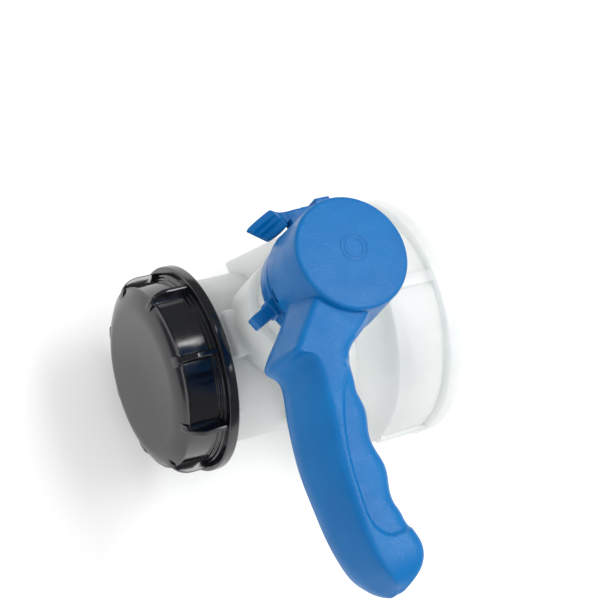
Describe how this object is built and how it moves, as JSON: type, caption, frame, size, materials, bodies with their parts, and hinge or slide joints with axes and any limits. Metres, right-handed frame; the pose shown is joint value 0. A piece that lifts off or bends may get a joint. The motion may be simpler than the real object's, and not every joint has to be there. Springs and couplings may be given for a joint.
{
  "type": "ibc butterfly valve",
  "caption": "Butterfly valve for a liquid tank: translucent body with screw collar, blue lever handle with latch, black screw cap on the outlet.",
  "frame": {"origin": "centre of the collar's open end, on the flow axis, where the valve screws onto the tank's neck", "axes": "+X along the flow axis towards the tank, +Z along the spindle towards the handle; the closed handle points to -Y and opens towards the outlet at -X"},
  "size_m": [0.1142, 0.1591, 0.1467],
  "materials": {
    "natural_hdpe": "translucent satin",
    "blue_polypropylene": "fine grain",
    "black_polypropylene": "glossy",
    "black_epdm": "matte",
    "stainless_steel": "satin",
    "white_acetal": "satin",
    "white_polypropylene": "satin"
  },
  "bodies": {
    "body": {"valve_body": "natural_hdpe", "bonnet_bush": "white_acetal", "thrust_washer": "stainless_steel", "index_ring": "blue_polypropylene", "latch_pin": "stainless_steel", "latch_spring": "stainless_steel", "inlet_gasket": "black_epdm"},
    "handle": {"handle": "blue_polypropylene", "spindle": "white_polypropylene", "spindle_clip": "stainless_steel", "disc": "white_polypropylene", "disc_seal": "black_epdm", "lower_oring": "black_epdm", "upper_oring": "black_epdm"},
    "latch": {"latch_lever": "blue_polypropylene"},
    "cap_liner": {"cap_gasket": "black_epdm"},
    "cap": {"outlet_cap": "black_polypropylene"}
  },
  "joints": [
    {"name": "handle_turn", "type": "hinge", "parent": "body", "child": "handle", "pos_m": [-0.0655, 0, 0], "axis": [0, 0, -1], "range_deg": [0, 90]},
    {"name": "latch_press", "type": "hinge", "parent": "body", "child": "latch", "pos_m": [-0.0535, 0.0265, 0.0685], "axis": [0, -1, 0], "range_deg": [-4, 6], "stiffness_Nm_per_rad": 0.3},
    {"name": "cap_slide", "type": "slide", "parent": "body", "child": "cap_liner", "axis": [-1, 0, 0], "range_m": [0, 0.0136]},
    {"name": "cap_turn", "type": "hinge", "parent": "cap_liner", "child": "cap", "pos_m": [-0.1142, 0, 0], "axis": [-1, 0, 0], "range_deg": [0, 810]}
  ],
  "couplings": [
    {"joint": "cap_slide", "follows": "cap_turn", "m_per_rad": 0.00095492}
  ]
}
